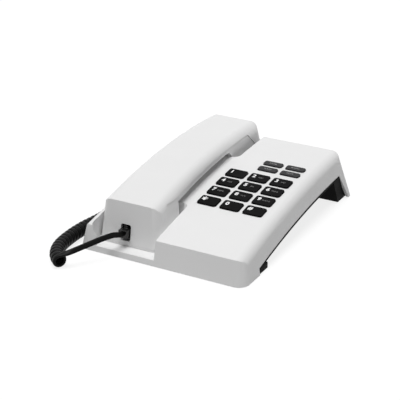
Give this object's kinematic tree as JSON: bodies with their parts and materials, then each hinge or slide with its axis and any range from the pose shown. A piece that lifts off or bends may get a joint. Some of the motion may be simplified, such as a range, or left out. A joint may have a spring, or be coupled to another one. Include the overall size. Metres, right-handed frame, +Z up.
{
  "type": "corded desk telephone",
  "caption": "Corded desk telephone: a sloping white base with a black keypad, a lift-off handset lying along its left side, and a curled black cord between them.",
  "frame": {"origin": "on the table, under the middle of the base's footprint, cord left out", "axes": "+X to the user's right, +Y away from the user to the back of the base, +Z up"},
  "size_m": [0.1624, 0.2669, 0.0563],
  "materials": {
    "housing_white": "satin moulded ABS",
    "handset_white": "satin moulded ABS",
    "base_black": "fine matt texture",
    "key_black": "satin, with white printed legends",
    "key_grey": "satin, with small light legends",
    "rubber": "matt",
    "mat_grey": "matt silicone",
    "board_green": "solder mask",
    "part_black": "moulded",
    "jack_black": "moulded",
    "plug_black": "clear dark moulding",
    "cord_black": "satin PVC",
    "steel": "zinc plated"
  },
  "bodies": {
    "base": {"upper_housing": "housing_white", "base_plate": "base_black", "rubber_feet": "rubber", "base_screws": "steel", "main_board": "board_green", "board_components": "part_black", "board_screws": "steel", "keypad_mat": "mat_grey", "hook_spring": "steel", "hook_switch": "part_black", "ringer": "part_black", "ringer_switch": "part_black", "rear_board": "board_green", "rear_board_screws": "steel", "line_jack": "jack_black", "cord_jack": "jack_black", "base_plug": "plug_black", "cord_lead": "cord_black", "cord_coil": "cord_black", "cord_tail": "cord_black"},
    "handset": {"handset_top_shell": "handset_white", "handset_bottom_shell": "handset_white", "handset_screws": "steel", "handset_jack": "jack_black", "handset_weight": "steel", "ear_speaker": "part_black", "microphone": "steel", "microphone_boot": "rubber", "handset_plug": "plug_black"},
    "hook_plunger": {"hook_plunger": "housing_white"},
    "ringer_knob": {"ringer_knob": "base_black"},
    "key_1": {"key_1": "key_black"},
    "key_2": {"key_2": "key_black"},
    "key_3": {"key_3": "key_black"},
    "key_4": {"key_4": "key_black"},
    "key_5": {"key_5": "key_black"},
    "key_6": {"key_6": "key_black"},
    "key_7": {"key_7": "key_black"},
    "key_8": {"key_8": "key_black"},
    "key_9": {"key_9": "key_black"},
    "key_star": {"key_star": "key_black"},
    "key_0": {"key_0": "key_black"},
    "key_hash": {"key_hash": "key_black"},
    "flash_key": {"flash_key": "key_grey"},
    "mute_key": {"mute_key": "key_grey"},
    "pause_key": {"pause_key": "key_grey"},
    "redial_key": {"redial_key": "key_grey"}
  },
  "joints": [
    {"name": "handset_lift", "type": "slide", "parent": "base", "child": "handset", "axis": [0, 0, 1], "range_m": [0, 0.08]},
    {"name": "hook", "type": "slide", "parent": "base", "child": "hook_plunger", "axis": [0, 0, 1], "range_m": [0, 0.005], "deforming": ["hook_spring"]},
    {"name": "ringer_slide", "type": "slide", "parent": "base", "child": "ringer_knob", "axis": [1, 0, 0], "range_m": [0, 0.004]},
    {"name": "key_1_press", "type": "slide", "parent": "base", "child": "key_1", "axis": [0, 0.1085, -0.9941], "range_m": [0, 0.0015], "stiffness_N_per_m": 300, "springref_m": -0.001},
    {"name": "key_2_press", "type": "slide", "parent": "base", "child": "key_2", "axis": [0, 0.1085, -0.9941], "range_m": [0, 0.0015], "stiffness_N_per_m": 300, "springref_m": -0.001},
    {"name": "key_3_press", "type": "slide", "parent": "base", "child": "key_3", "axis": [0, 0.1085, -0.9941], "range_m": [0, 0.0015], "stiffness_N_per_m": 300, "springref_m": -0.001},
    {"name": "key_4_press", "type": "slide", "parent": "base", "child": "key_4", "axis": [0, 0.1251, -0.9921], "range_m": [0, 0.0015], "stiffness_N_per_m": 300, "springref_m": -0.001},
    {"name": "key_5_press", "type": "slide", "parent": "base", "child": "key_5", "axis": [0, 0.1251, -0.9921], "range_m": [0, 0.0015], "stiffness_N_per_m": 300, "springref_m": -0.001},
    {"name": "key_6_press", "type": "slide", "parent": "base", "child": "key_6", "axis": [0, 0.1251, -0.9921], "range_m": [0, 0.0015], "stiffness_N_per_m": 300, "springref_m": -0.001},
    {"name": "key_7_press", "type": "slide", "parent": "base", "child": "key_7", "axis": [0, 0.1418, -0.9899], "range_m": [0, 0.0015], "stiffness_N_per_m": 300, "springref_m": -0.001},
    {"name": "key_8_press", "type": "slide", "parent": "base", "child": "key_8", "axis": [0, 0.1418, -0.9899], "range_m": [0, 0.0015], "stiffness_N_per_m": 300, "springref_m": -0.001},
    {"name": "key_9_press", "type": "slide", "parent": "base", "child": "key_9", "axis": [0, 0.1418, -0.9899], "range_m": [0, 0.0015], "stiffness_N_per_m": 300, "springref_m": -0.001},
    {"name": "key_star_press", "type": "slide", "parent": "base", "child": "key_star", "axis": [0, 0.1584, -0.9874], "range_m": [0, 0.0015], "stiffness_N_per_m": 300, "springref_m": -0.001},
    {"name": "key_0_press", "type": "slide", "parent": "base", "child": "key_0", "axis": [0, 0.1584, -0.9874], "range_m": [0, 0.0015], "stiffness_N_per_m": 300, "springref_m": -0.001},
    {"name": "key_hash_press", "type": "slide", "parent": "base", "child": "key_hash", "axis": [0, 0.1584, -0.9874], "range_m": [0, 0.0015], "stiffness_N_per_m": 300, "springref_m": -0.001},
    {"name": "flash_key_press", "type": "slide", "parent": "base", "child": "flash_key", "axis": [0, 0.0908, -0.9959], "range_m": [0, 0.0015], "stiffness_N_per_m": 300, "springref_m": -0.001},
    {"name": "mute_key_press", "type": "slide", "parent": "base", "child": "mute_key", "axis": [0, 0.0908, -0.9959], "range_m": [0, 0.0015], "stiffness_N_per_m": 300, "springref_m": -0.001},
    {"name": "pause_key_press", "type": "slide", "parent": "base", "child": "pause_key", "axis": [0, 0.0796, -0.9968], "range_m": [0, 0.0015], "stiffness_N_per_m": 300, "springref_m": -0.001},
    {"name": "redial_key_press", "type": "slide", "parent": "base", "child": "redial_key", "axis": [0, 0.0796, -0.9968], "range_m": [0, 0.0015], "stiffness_N_per_m": 300, "springref_m": -0.001}
  ],
  "couplings": [
    {"joint": "hook", "follows": "handset_lift", "ratio": 0.0625}
  ]
}
